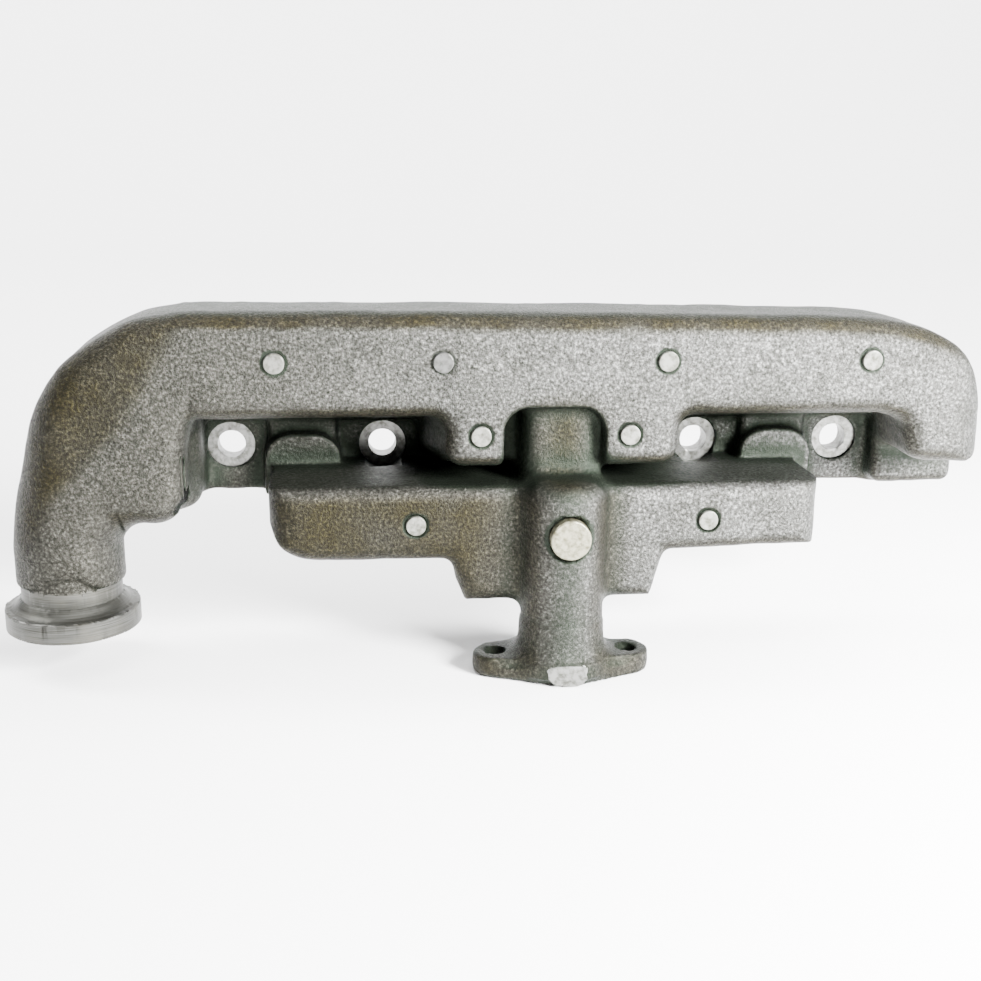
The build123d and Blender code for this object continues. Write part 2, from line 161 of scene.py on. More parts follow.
# ---- the grid ----
low = np.floor(box_low - margin)
high = np.ceil(box_high + margin)
counts = np.ceil((high - low) / grid_step).astype(int) + 1
axes = [(low[i] + grid_step * np.arange(counts[i])).astype(np.float32) for i in range(3)]
X = axes[0][:, None, None]
Y = axes[1][None, :, None]
Z = axes[2][None, None, :]
FX = axes[0][:, None]        # the front view's plane, for outlines
FZ = axes[2][None, :]


# ---- distance functions ----
def join(a, b, blend):
    """Union with a fillet of about this radius."""
    if blend <= 0:
        return np.minimum(a, b)
    h = np.clip(0.5 + 0.5 * (b - a) / blend, 0, 1)
    return b + (a - b) * h - blend * h * (1 - h)


def cut(a, b, blend=0.0):
    """a with b taken away, its edge eased by about this radius."""
    return -join(-a, b, blend)


def both(a, b, blend=0.0):
    """Only what a and b share."""
    return -join(-a, -b, blend)


def rounded_box(x0, x1, y0, y1, z0, z1, r):
    """A box between these limits, every edge rounded by r."""
    qx = np.abs(X - (x0 + x1) / 2) - ((x1 - x0) / 2 - r)
    qy = np.abs(Y - (y0 + y1) / 2) - ((y1 - y0) / 2 - r)
    qz = np.abs(Z - (z0 + z1) / 2) - ((z1 - z0) / 2 - r)
    outside = np.sqrt(np.maximum(qx, 0) ** 2 + np.maximum(qy, 0) ** 2 + np.maximum(qz, 0) ** 2)
    return outside + np.minimum(np.maximum(np.maximum(qx, qy), qz), 0) - r


def outline(points, px=FX, pz=FZ):
    """Signed distance to a closed outline in a plane: negative inside."""
    pts = np.array(points, dtype=np.float32)
    best = np.full(np.broadcast(px, pz).shape, 1e9, dtype=np.float32)
    inside = np.zeros(best.shape, dtype=bool)
    for a, b in zip(pts, np.roll(pts, -1, axis=0)):
        ex, ez = b - a
        wx, wz = px - a[0], pz - a[1]
        t = np.clip((wx * ex + wz * ez) / (ex * ex + ez * ez + 1e-9), 0, 1)
        best = np.minimum(best, (wx - ex * t) ** 2 + (wz - ez * t) ** 2)
        if a[1] != b[1]:
            crosses = ((a[1] <= pz) & (b[1] > pz)) | ((b[1] <= pz) & (a[1] > pz))
            at = a[0] + (pz - a[1]) * ex / ez
            inside ^= crosses & (px < at)
    return np.where(inside, -np.sqrt(best), np.sqrt(best))


def flat_box(x0, x1, z0, z1, r):
    """A rectangle in the front view, its corners rounded by r."""
    qx = np.abs(FX - (x0 + x1) / 2) - ((x1 - x0) / 2 - r)
    qz = np.abs(FZ - (z0 + z1) / 2) - ((z1 - z0) / 2 - r)
    outside = np.sqrt(np.maximum(qx, 0) ** 2 + np.maximum(qz, 0) ** 2)
    return outside + np.minimum(np.maximum(qx, qz), 0) - r


def slab(shape, y0, y1, r):
    """A front-view shape given depth from y0 to y1, its edges rounded by r (a number or a map)."""
    rounding = r if np.isscalar(r) else r[:, None, :]
    across = shape[:, None, :] + rounding
    through = np.abs(Y - (y0 + y1) / 2) - ((y1 - y0) / 2) + rounding
    outside = np.sqrt(np.maximum(across, 0) ** 2 + np.maximum(through, 0) ** 2)
    return outside + np.minimum(np.maximum(across, through), 0) - rounding


def upright(x, y, radius):
    """An endless cylinder along Z."""
    return np.sqrt((X - x) ** 2 + (Y - y) ** 2) - radius


def facing(x, z, radius):
    """An endless cylinder along Y, facing the front."""
    return np.sqrt((X - x) ** 2 + (Z - z) ** 2) - radius


def between(field, axis, a, b, blend=0.0):
    """The part of a shape from a to b along an axis."""
    return both(field, np.maximum(a - axis, axis - b), blend)


def curve(points, steps=10):
    """Smooth curve through the points, as a list."""
    p = [np.array(q, float) for q in points]
    p = [2 * p[0] - p[1]] + p + [2 * p[-1] - p[-2]]
    out = []
    for i in range(1, len(p) - 2):
        for s in range(steps):
            t = s / steps
            out.append(0.5 * (2 * p[i] + (p[i + 1] - p[i - 1]) * t
                              + (2 * p[i - 1] - 5 * p[i] + 4 * p[i + 1] - p[i + 2]) * t * t
                              + (3 * p[i] - p[i - 1] - 3 * p[i + 1] + p[i + 2]) * t ** 3))
    out.append(p[-2])
    return [tuple(q) for q in out]


def ease(value, start, end):
    """0 before start, 1 after end, and a smooth change between them."""
    t = np.clip((value - start) / (end - start), 0, 1)
    return t * t * (3 - 2 * t)


# ---- exhaust side ----
def exhaust_shape():
    """The log, with the elbow and pipe at its left and the leg at its right."""
    outer = curve([(-140, log_high), (-160, log_high - 0.3), (-181, 62.8), (-205, 47.6), (-219, 29),
                   (-227.5, 3), (-234.0, -27), (-235.2, -60)])
    inner = [(-188.7, -60), (-188.7, -34), (-178, -10), (-165, 10), (-150, 30), (-140, log_low)]
    elbow = outline(outer + inner)
    corner = curve([(120, log_high_right), (138, 64.8), (155, 62.0), (169, 57.3), (179.5, 51), (187, 41),
                    (192.5, 28), (log_end - 0.6, 15), (log_end, 8)], 4)
    leg = curve([(log_end, 8), (194.5, 2.0), (187, -0.3)], 4) + [(168, 0)]
    leg += curve([(168, 0), (160, 3), (157, 11)], 4)
    leg += curve([(157, 11), (154, 19), (144, log_low)], 4)
    top = [(-160, log_low), (-160, log_high), (-50, log_high - 0.1), (30, log_high - 1.0)]
    log = outline(top + corner + leg)
    shape = join(np.minimum(log, elbow), flat_box(*left_box, 15), box_blend)
    # edges are log_edge on the log and grow to full_round on the elbow and pipe
    turn = ease(-FX + 0.35 * (45 - FZ), 172, 232)
    edge = log_edge + 12.5 * turn * ease(FZ, 85, -40)
    edge = np.where(FX < -186, np.maximum(edge, log_edge + 12.6 * ease(-FZ, -15, 34)), edge)
    pipe_only = ease(-FX, 186, 200)
    pipe_edge = np.maximum(edge, 9 + 14.6 * ease(-FZ, -62, 20))
    edge = edge * (1 - pipe_only) + pipe_only * pipe_edge
    body = slab(shape, -front, -log_back, np.clip(edge, 9, full_round).astype(np.float32))
    # the far end is rounded in plan too
    far_end = rounded_box(-400, log_end, -front, 30, -60, 80, 25)
    return both(body, far_end, 3)


def port_boxes():
    """The end ports' blocks, from the log to the mounting face."""
    left = rounded_box(-200, -154.5, -40, 6, -23, 30, 8)
    right = rounded_box(159, 199, -24, 6, -20, 30, 5)
    return join(left, right, 2)


def centre_block():
    """The siamesed port block: wide at the face, narrow at the front, with two ears and a window."""
    slope = (Y + front) / front
    half = 49.5 + 13.5 * slope
    low_edge = 2.0 - 9.0 * slope
    r = 8.0
    qx = np.abs(X - 2.5) - (half - r)
    qz = np.maximum(low_edge - Z, Z - 60.0) + r
    qy = np.maximum(-front - Y, Y - 4) + r
    outside = np.sqrt(np.maximum(qx, 0) ** 2 + np.maximum(qy, 0) ** 2 + np.maximum(qz, 0) ** 2)
    block = outside + np.minimum(np.maximum(np.maximum(qx, qy), qz), 0) - r
    block = both(block, Z - 45 - (Y + front) * 0.4)
    return both(block, Z - 40 + 14 * ease(Y, -log_back - 4, -log_back + 4), 4)


def window():
    """The gap between the two ears, cut in from the front."""
    opening = flat_box(-23.5, 20.0, -40, 27.5, 11)
    return slab(opening, -front - 20, -44, 2.0)


def heat_box():
    """The block where the exhaust warms the riser."""
    return rounded_box(-14.5, 19.5, -61.0, -20, -12, 40, 9)


# ---- intake side ----
def intake_shape():
    """The intake log, with the deeper well below its middle."""
    left_end = curve([(-124.3, -24), (-120, -33.5), (-112, -38.6), (-102, -40)], 4)
    log = outline([(-124.3, -7), (-124.3, -24)] + left_end
                  + [(-46, -40), (119.4, -36.5), (119.4, -7)])
    well = outline([(-48, -30), (-46.2, -41), (-43.8, -50), (-40, -60), (44, -60), (49, -41), (50, -30)])
    shape = join(log, well + 0.5, 5)
    body = slab(shape, -front, -plate_thick + 2, 7.0)
    plan = rounded_box(-124.4, 119.5, -front, 6, -80, 20, 13)
    return both(body, plan, 0)


def hood(side):
    """The arch over an intake port, on the left (-1) or the right (1)."""
    x = side * hood_x
    arch = flat_box(x - hood_half_width, x + hood_half_width, plate_low - hood_round, hood_high, hood_round)
    arch = np.maximum(arch, plate_low - FZ)
    face = slab(arch, hood_front, 2, 1.6)
    web = rounded_box(x - 15.5, x + 15.5, -17, 2, -20, 24, 3)
    return join(face, web, 3)


def plate():
    """The mounting plate that ties the ports together, and the rail along it."""
    shape = flat_box(-200, 200, plate_low, 60, 18)
    shape = both(shape, FZ - 24.0)
    thin = slab(shape, -plate_thick, 3, 1.2)
    rail = rounded_box(-160, 162, -20, 2, 13, 27, 4)
    return join(thin, rail, 5)


def riser():
    """The upright pipe from the flange to the intake log, flared at its foot."""
    column = upright(riser_x, riser_y, riser_radius)
    column = between(column, Z, flange_bottom + 5, -3.0, 11)
    above_flange = np.maximum(Z - (flange_bottom + flange_step_high), 0)
    flared = riser_radius + riser_flare * np.exp(-above_flange / riser_flare_height)
    foot = between(upright(riser_x, riser_y, flared), Z, flange_bottom + 3, flange_bottom + 24)
    return join(column, foot, 2)


def flange():
    """The carburettor flange: a wide plate, a narrower step on it and a lug in front."""
    def lozenge(tip, middle):
        px, py = np.abs(X - riser_x), np.abs(Y - riser_y)
        half = bolt_spacing / 2
        # hull of a middle circle and two tip circles, from its slanted tangent
        sin_a = (middle - tip) / half
        cos_a = math.sqrt(1 - sin_a * sin_a)
        along = px * cos_a - py * sin_a
        d_mid = np.sqrt(px ** 2 + py ** 2) - middle
        d_tip = np.sqrt((px - half) ** 2 + py ** 2) - tip
        d_side = px * sin_a + py * cos_a - middle
        return np.where(along <= 0, d_mid, np.where(along >= half * cos_a, d_tip, d_side))
    lower = between(lozenge(flange_tip, flange_middle), Z, flange_bottom, flange_bottom + flange_thick, 1.2)
    upper = between(lozenge(flange_tip, flange_step_middle), Z, flange_bottom + flange_step_low,
                    flange_bottom + flange_step_high, 1.2)
    lug = rounded_box(riser_x - lug_half_width, riser_x + lug_half_width, riser_y - lug_reach, riser_y,
                      flange_bottom + 0.02, flange_bottom + lug_height, 1.6)
    body = join(lower, upper, 0.8)
    return join(body, lug, 1.0)


# ---- passages ----
def passages():
    """Everything the gas and the mixture flow through."""
    r = passage_round
    log = rounded_box(-160, log_end - wall - 6, -front + wall, -log_back - wall, log_low + wall,
                      log_high_right - wall, r)
    roof = outline([(-200, 20), (-200, 80), (141, 61.5), (163, 55), (177, 43), (184, 28), (187, 12),
                    (187, -10), (-200, -10)])
    log = both(log, roof[:, None, :], 2)
    turns = [(-150, 46), (-176, 41), (-189.5, 33.5), (-198.5, 22), (-204.5, 4), (-209, -20), (-212, -44),
             (-212, -100)]
    tube = None
    for (ax, az), (bx, bz) in zip(turns[:-1], turns[1:]):
        ex, ez = bx - ax, bz - az
        t = np.clip(((X - ax) * ex + (Z - az) * ez) / (ex * ex + ez * ez), 0, 1)
        d = np.sqrt((X - ax - ex * t) ** 2 + (Y - pipe_y) ** 2 + (Z - az - ez * t) ** 2) - elbow_tube_radius
        tube = d if tube is None else join(tube, d, 6)
    left = join(rounded_box(-193, -160, -front + wall, -24.5, -18.5, 40, r),
                rounded_box(-193, -160, -26, -10, -18.5, 23, r), 3)
    right = join(rounded_box(163, 184, -front + wall, -24.5, 5.5, 45, r),
                 rounded_box(163, 190, -30, -12, 5.5, 23, r), 3)
    gas = join(join(join(log, tube, 5), left, 4), right, 4)
    for x, half in ((-178, 15), (178, 15), (3, 23)):
        gas = join(gas, rounded_box(x - half, x + half, -20, 10, -7, 23, 4), 1)
    gas = join(gas, rounded_box(-44, 50, -38, -8, 2, 23, r), 2)
    gas = join(gas, rounded_box(-44, 50, -38, -24.5, 2, 40, r), 2)
    air = rounded_box(air_left, air_right, -front + wall, -17.5, air_low, air_high, r)
    air = join(air, rounded_box(-36, 39, -front + wall, -17.5, -54.5, -24, r), 4)
    for side in (-1, 1):
        x = side * port_x
        start = max(x - port_half_width, air_left)
        stop = min(x + port_half_width, air_right)
        air = join(air, rounded_box(start, stop, -40, -9, air_low, air_high, 3), 2)
        air = join(air, rounded_box(start, stop, -17.5, -9, air_low, 1.5, 3), 1)
        air = join(air, between(facing(x, port_z, port_radius), Y, -11, 10), 0)
    bore = between(upright(riser_x, riser_y, riser_bore), Z, -120, -13)
    return np.minimum(np.minimum(gas, air), bore)


def holes():
    """Stud holes with their nut seats, and the carburettor's bolt holes."""
    field = None
    for x in stud_x:
        drilled = between(facing(x, 0, stud_radius), Y, -40, 10)
        seat = between(facing(x, 0, seat_radius), Y, -plate_thick - 14, -plate_thick + seat_depth)
        stud_cut = np.minimum(drilled, seat)
        field = stud_cut if field is None else np.minimum(field, stud_cut)
    for side in (-1, 1):
        bolt = upright(riser_x + side * bolt_spacing / 2, riser_y, bolt_radius)
        field = np.minimum(field, between(bolt, Z, flange_bottom - 5, flange_bottom + 13))
    return field


def pockets():
    """Where each chaplet's head and stem sit, and the riser plug."""
    field = between(facing(plug_place[0], plug_place[2], plug_hole), Y, -120, -70)
    relief = between(facing(plug_place[0], plug_place[2], plug_relief), Y, -120, plug_relief_back)
    field = np.minimum(field, relief)
    for name in frame["nodes"]:
        if "chaplet" not in name:
            continue
        a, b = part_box(name)
        x, z = (a[0] + b[0]) / 2 / MM, (a[2] + b[2]) / 2 / MM
        rear = "rear" in name
        y = b[1] / MM if rear else a[1] / MM       # outer face of the head
        inward = -1 if rear else 1
        head = sorted((y + inward * chaplet_hole_depth, y - inward * 8))
        stem = sorted((y, y + inward * stem_depth))
        field = np.minimum(field, between(facing(x, z, chaplet_hole), Y, *head))
        field = np.minimum(field, between(facing(x, z, stem_hole), Y, *stem))
    return field


def casting_field():
    """The whole casting: its outside, a slightly uneven skin, then everything cut into it."""
    log = exhaust_shape()
    body = join(log, port_boxes(), 7)
    body = join(body, centre_block(), 9)
    body = cut(body, window(), 3.5)
    body = join(body, heat_box(), 6)
    body = both(body, -front - Y, 1.5)
    intake = join(intake_shape(), riser(), 7)
    body = join(body, plate(), 5)
    body = join(body, intake, 6)
    for side in (-1, 1):
        body = join(body, hood(side), 2.5)
    body = join(body, flange(), 3)
    for spacing, height, seed in (fine_ripple, broad_ripple):
        body = body + height * ripple(spacing, seed)
    below_pipe = between(upright(pipe_x, pipe_y, 45), Z, rim_low - 20, neck_high)
    body = join(cut(body, below_pipe, 1.2), collar(), 0.4)
    body = both(body, np.maximum(Y, flange_bottom - Z), 0)
    body = cut(body, passages(), 0.6)
    body = cut(body, holes(), 0)
    return cut(body, pockets(), 0)


# ---- field to mesh ----
def surface_mesh(field):
    """One point in each grid cell that the surface crosses, and a quad round each crossed grid edge."""
    inside = field < 0
    shape = field.shape
    corners = [(i, j, k) for i in (0, 1) for j in (0, 1) for k in (0, 1)]
    count = np.zeros([n - 1 for n in shape], np.uint8)
    for i, j, k in corners:
        count += inside[i:shape[0] - 1 + i, j:shape[1] - 1 + j, k:shape[2] - 1 + k]
    mixed = (count > 0) & (count < 8)
    cells = np.argwhere(mixed)
    number = np.full(mixed.shape, -1, np.int32)
    number[mixed] = np.arange(len(cells))
    values = {c: field[tuple((cells + np.array(c)).T)] for c in corners}
    total = np.zeros((len(cells), 3))
    hits = np.zeros(len(cells))
    for c in corners:
        for axis in range(3):
            if c[axis]:
                continue
            far = tuple(1 if k == axis else c[k] for k in range(3))
            a, b = values[c], values[far]
            crossed = (a < 0) != (b < 0)
            point = np.tile(np.array(c, float), (len(cells), 1))
            point[:, axis] = np.where(crossed, a / np.where(crossed, a - b, 1), 0)
            total += point * crossed[:, None]
            hits += crossed
    places = (cells + total / hits[:, None]) * grid_step + low
    quads = []
    for axis in range(3):
        step, u, v = np.eye(3, dtype=int)[[axis, (axis + 1) % 3, (axis + 2) % 3]]
        here = inside[tuple(slice(0, n - s) for n, s in zip(shape, step))]
        there = inside[tuple(slice(s, n) for n, s in zip(shape, step))]
        p = np.argwhere(here != there)
        solid_first = here[tuple(p.T)]
        ring = [number[tuple((p - i * u - j * v).T)] for i, j in ((0, 0), (1, 0), (1, 1), (0, 1))]
        ring = np.stack(ring, axis=1)
        quads.append(np.where(solid_first[:, None], ring, ring[:, ::-1]))
    return places, np.concatenate(quads)


def snap_plane(places, axis, value, where=True, reach=0.6):
    """Moves points that are nearly on a plane exactly onto it."""
    near = (np.abs(places[:, axis] - value) < reach * grid_step) & where
    places[near, axis] = value


def snap_round(places, a, b, centre, radius, where, reach=0.6):
    """Moves points that are nearly on a cylinder exactly onto it."""
    away = places[:, [a, b]] - np.array(centre)
    distance = np.hypot(away[:, 0], away[:, 1])
    near = (np.abs(distance - radius) < reach * grid_step) & where
    places[near, a] = centre[0] + away[near, 0] * radius / distance[near]
    places[near, b] = centre[1] + away[near, 1] * radius / distance[near]


def snap_machined(places):
    """Puts the faces that a machinist would cut back on their planes and cylinders."""
    x, y, z = places.T
    snap_plane(places, 1, 0.0)
    snap_plane(places, 2, flange_bottom)
    around_pipe = np.hypot(x - pipe_x, y - pipe_y)
    for radius, bottom, top in ((rim_radius, rim_low - 1, rim_high + 1),
                                (neck_radius, neck_low - 1, neck_high)):
        snap_round(places, 0, 1, (pipe_x, pipe_y), radius, (z > bottom) & (z < top))
    snap_round(places, 0, 1, (pipe_x, pipe_y), outlet_bore, (z > rim_low - 1) & (z < neck_high - 2))
    for level in (rim_low, rim_high):
        snap_plane(places, 2, level, (around_pipe < rim_radius + 1) & (around_pipe > outlet_bore - 1))
    for stud in stud_x:
        across = np.hypot(x - stud, z)
        seat = -plate_thick + seat_depth
        snap_plane(places, 1, seat, across < seat_radius + 0.6)
        snap_round(places, 0, 2, (stud, 0), stud_radius, y > seat - 1)
        snap_round(places, 0, 2, (stud, 0), seat_radius, (y < seat + 0.6) & (y > seat - 16))
    for side in (-1, 1):
        bolt = (riser_x + side * bolt_spacing / 2, riser_y)
        snap_round(places, 0, 1, bolt, bolt_radius, z < flange_bottom + 11)
    snap_round(places, 0, 1, (riser_x, riser_y), riser_bore, z < -14)
    on_lug = (np.abs(x - riser_x) < 7.5) & (z < flange_bottom + 9.5)
    snap_plane(places, 1, riser_y - lug_reach, on_lug)


def sample(field, places):
    """The field at any places, blended between grid points."""
    cell = (places - low) / grid_step
    base = np.clip(np.floor(cell).astype(int), 0, np.array(field.shape) - 2)
    t = np.clip(cell - base, 0, 1)
    total = np.zeros(len(places))
    for i in (0, 1):
        for j in (0, 1):
            for k in (0, 1):
                weight = (np.abs(1 - i - t[:, 0]) * np.abs(1 - j - t[:, 1]) * np.abs(1 - k - t[:, 2]))
                total += weight * field[base[:, 0] + i, base[:, 1] + j, base[:, 2] + k]
    return total


def ripple(spacing, seed):
    """A smooth random field on the grid, from -1 to 1, with bumps about this far apart."""
    random = np.random.default_rng(seed)
    size = [int(np.ceil((high[i] - low[i]) / spacing)) + 3 for i in range(3)]
    coarse = random.uniform(-1, 1, size).astype(np.float32)
    for axis in range(3):
        at = (axes[axis] - low[axis]) / spacing
        base = np.floor(at).astype(int)
        t = at - base
        t = t * t * (3 - 2 * t)
        t = t.reshape([-1 if k == axis else 1 for k in range(3)]).astype(np.float32)
        coarse = np.take(coarse, base, axis=axis) * (1 - t) + np.take(coarse, base + 1, axis=axis) * t
    return coarse


def collar():
    """The turned neck, its cone and the clamping rim."""
    profile = [(0, rim_low), (rim_radius, rim_low), (rim_radius, rim_high - 0.6),
               (rim_radius - 1.2, rim_high),
               (neck_radius + 3, rim_high + 1.2), (neck_radius + 0.6, neck_low),
               (neck_radius, neck_low + 1.5),
               (neck_radius, neck_high + 4), (0, neck_high + 4)]
    radius = np.sqrt((X - pipe_x) ** 2 + (Y - pipe_y) ** 2)
    return outline(profile, radius, Z)


def make_object(name, places, faces):
    """A mesh object from points in millimetres and faces that all have as many corners."""
    mesh = bpy.data.meshes.new(name)
    mesh.vertices.add(len(places))
    mesh.vertices.foreach_set("co", (places * MM).astype(np.float32).ravel())
    size = faces.shape[1]
    mesh.loops.add(faces.size)
    mesh.loops.foreach_set("vertex_index", faces.astype(np.int32).ravel())
    mesh.polygons.add(len(faces))
    mesh.polygons.foreach_set("loop_start", np.arange(0, faces.size, size, dtype=np.int32))
    mesh.update(calc_edges=True)
    mesh.validate()
    obj = bpy.data.objects.new(name, mesh)
    bpy.context.scene.collection.objects.link(obj)
    return obj


def thinned(obj, most_triangles):
    """Redraws flat areas of the object's mesh with fewer triangles, and returns the mesh."""
    count = 2 * len(obj.data.polygons)
    modifier = obj.modifiers.new("fewer triangles", "DECIMATE")
    modifier.ratio = min(1.0, most_triangles / count)
    graph = bpy.context.evaluated_depsgraph_get()
    mesh = bpy.data.meshes.new_from_object(obj.evaluated_get(graph))
    obj.modifiers.clear()
    obj.data = mesh
    return mesh


# ---- the casting ----
field = casting_field()
places, quads = surface_mesh(field)
snap_machined(places)
places = np.clip(places, box_low, box_high)
casting = make_object("casting_body", places, quads)
mesh = thinned(casting, most_triangles_kept)
mesh.shade_smooth()

places = np.empty(3 * len(mesh.vertices), np.float32)
mesh.vertices.foreach_get("co", places)
places = places.reshape(-1, 3) / MM
normals = np.empty(3 * len(mesh.vertices), np.float32)
mesh.vertices.foreach_get("normal", normals)
normals = normals.reshape(-1, 3)


def openness(distance):
    """1 where the surface looks out on open air, 0 in a tight recess."""
    return np.clip(sample(field, places + normals * distance) / distance, 0, 1)


def to_point(x, z, y_low, y_high):
    """Distance from a line along Y, for the vertices between two depths."""
    away = np.hypot(places[:, 0] - x, places[:, 2] - z)
    return np.where((places[:, 1] > y_low) & (places[:, 1] < y_high), away, 999)


# painted shade: the colour is darkened where the surface is enclosed, as shade falls in recesses and corners
recess_shade = 1 - (openness(4) + openness(14) + openness(32)) / 3
# painted shadow: a dark ring in the gap round each chaplet head and round the riser plug, fainter on the
# fused chaplet
for name in frame["nodes"]:
    if "chaplet" in name:
        x, _, z = node_centre(name)
        rear = "rear" in name
        y_low, y_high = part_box(name)[0][1] / MM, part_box(name)[1][1] / MM
        face = y_high if rear else y_low
        ring = to_point(x, z, face - 3, face + 3)
        shade = 0.35 if name == "log_front_chaplet_2" else 1.0
        recess_shade = np.maximum(recess_shade, shade * np.clip(1.5 - np.abs(ring - 4.6), 0, 1))
ring = to_point(plug_place[0], plug_place[2], -90, -80)
recess_shade = np.maximum(recess_shade, np.clip(1.8 - np.abs(ring - 9.4), 0, 1))

# where heat and oil have stained the skin, and painted shade on the elbow's left, the tops, the undersides,
# the intake's left, the left-facing faces and towards the left end; the flange and a band by the riser are
# darkened too. Each is 0 for clean iron and 1 for full tint
x, y, z = places.T
heat = np.exp(-((x - 2) / 17) ** 2) * ease(z, -14, -2) * (1 - ease(z, 20, 42)) * (y < -28)
# painted shade: the elbow and pipe left of their ridge are darker, turned away from the key light
ridge_x = np.interp(z, (-60, -42, -13, 20, 60, 75), (-222, -218, -207, -175, -152, -140))
left = ease(ridge_x - x, -10, 16)
# painted shade: upward faces along the top are darkened against the overhead lamp
top = ease(normals[:, 2], 0.05, 0.5) * ease(z, 40, 56)
# painted shade: downward faces are darkened against the floor's bright bounce
under = ease(-normals[:, 2], 0.05, 0.6) * 0.9
# painted shade: the intake's left half is darker, away from the key light
intake_side = ease(-x, -30, 45) * ease(-z, 2, 14) * (x > -130)
# the flange is darkened with the olive tint
flange_side = ease(-z, 76, 84) * (x > -100) * 0.8
# painted shade: faces turned to the left are darker, away from the key light
side = np.clip(-normals[:, 0], 0, 1) * 0.9
# painted shade: darker towards the left end, away from the key light
painted_shade_to_left = 0.65 * ease(-x, -60, 190)
# a band either side of the riser, below the intake's top, is darkened with the olive tint
off_riser = np.abs(x - riser_x)
riser_side = 0.85 * ease(off_riser, 6, 15) * (1 - ease(off_riser, 20, 34)) * ease(-z, 6, 12)
stains_and_painted_shade = [heat, left, top, under, intake_side, flange_side, side, painted_shade_to_left, riser_side]
oil = np.clip(np.maximum.reduce(stains_and_painted_shade), 0, 1)
# painted shade: the collar's cone below the neck is darkened
cone = (z > rim_high - 0.5) & (z < neck_low + 1.5) & (x < pipe_x + rim_radius + 1)
recess_shade = np.where(cone, np.maximum(recess_shade, 0.75), recess_shade)
for name, values in (("recess_shade", recess_shade), ("oil", oil)):
    layer = mesh.attributes.new(name, "FLOAT", "POINT")
    layer.data.foreach_set("value", values.astype(np.float32))

# which material each face has, by its place in the mesh's list of materials
CAST, TURNED, GROUND = 0, 1, 2
centres = np.empty(3 * len(mesh.polygons), np.float32)
mesh.polygons.foreach_get("center", centres)
cx, cy, cz = centres.reshape(-1, 3).T / MM
kinds = np.full(len(cx), CAST, np.int32)
from_pipe = np.hypot(cx - pipe_x, cy - pipe_y)
kinds[(cz < neck_high - 0.5) & (from_pipe < rim_radius + 1)] = TURNED
kinds[cy > -0.05] = GROUND
kinds[cz < flange_bottom + 0.05] = GROUND
kinds[(cy < riser_y - lug_reach + 0.1) & (cz < flange_bottom + 9.5)] = GROUND
for stud in stud_x:
    across = np.hypot(cx - stud, cz)
    kinds[(across < seat_radius + 0.2) & (np.abs(cy + plate_thick - seat_depth) < 0.3)] = GROUND
    kinds[(across < stud_radius + 0.2) & (cy > -plate_thick)] = GROUND
mesh.polygons.foreach_set("material_index", kinds)
mesh.update()
mesh.set_sharp_from_angle(angle=math.radians(38))

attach(casting, "root")
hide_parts("manifold_casting")


# ---- materials ----
# olive tint for oil stains and painted shade, and a near-black tone for painted shade in recesses
OIL_AND_SHADE_TINT = (0.17, 0.145, 0.055)
RECESS_SHADE_TONE = (0.010, 0.014, 0.009)


def new_material(name, metallic, roughness):
    """A material with a plain shader, and its node tree."""
    material = bpy.data.materials.new(name)
    material.use_nodes = True
    tree = material.node_tree
    shader = tree.nodes["Principled BSDF"]
    shader.inputs["Metallic"].default_value = metallic
    shader.inputs["Roughness"].default_value = roughness
    return material, tree, shader


def noise(tree, scale, detail=3.0, rough=0.6, stretch=None):
    """A noise texture that sits still on the object, sized in metres."""
    place = tree.nodes.new("ShaderNodeTexCoord")
    texture = tree.nodes.new("ShaderNodeTexNoise")
    texture.inputs["Scale"].default_value = scale
    texture.inputs["Detail"].default_value = detail
    texture.inputs["Roughness"].default_value = rough
    source = place.outputs["Object"]
    if stretch:
        scaled = tree.nodes.new("ShaderNodeMapping")
        scaled.inputs["Scale"].default_value = stretch
        tree.links.new(source, scaled.inputs["Vector"])
        source = scaled.outputs["Vector"]
    tree.links.new(source, texture.inputs["Vector"])
    return texture.outputs["Fac"]


def ramp(tree, source, stops):
    """Colours along a 0 to 1 value."""
    node = tree.nodes.new("ShaderNodeValToRGB")
    elements = node.color_ramp.elements
    while len(elements) < len(stops):
        elements.new(0.5)
    for element, (at, colour) in zip(elements, stops):
        element.position = at
        element.color = (*colour, 1)
    tree.links.new(source, node.inputs["Fac"])
    return node.outputs["Color"]


def mixed(tree, amount, first, second, mode="MIX"):
    """Two colours mixed, where each input is a socket, a colour or a number."""
    node = tree.nodes.new("ShaderNodeMix")
    node.data_type = "RGBA"
    node.blend_type = mode
    for socket, value in ((node.inputs[0], amount), (node.inputs[6], first), (node.inputs[7], second)):
        if isinstance(value, bpy.types.NodeSocket):
            tree.links.new(value, socket)
        elif isinstance(value, tuple):
            socket.default_value = (*value, 1)
        else:
            socket.default_value = value
    return node.outputs[2]


def remap(tree, source, low_in, high_in, low_out=0.0, high_out=1.0):
    """A value moved from one range to another."""
    node = tree.nodes.new("ShaderNodeMapRange")
    limits = (low_in, high_in, low_out, high_out)
    for socket, value in zip(("From Min", "From Max", "To Min", "To Max"), limits):
        node.inputs[socket].default_value = value
    tree.links.new(source, node.inputs["Value"])
    return node.outputs["Result"]


def times(tree, a, b):
    """One value times another."""
    node = tree.nodes.new("ShaderNodeMath")
    node.operation = "MULTIPLY"
    tree.links.new(a, node.inputs[0])
    tree.links.new(b, node.inputs[1])
    return node.outputs["Value"]


def stored(tree, name):
    """A value stored on the mesh's points."""
    node = tree.nodes.new("ShaderNodeAttribute")
    node.attribute_name = name
    return node.outputs["Fac"]


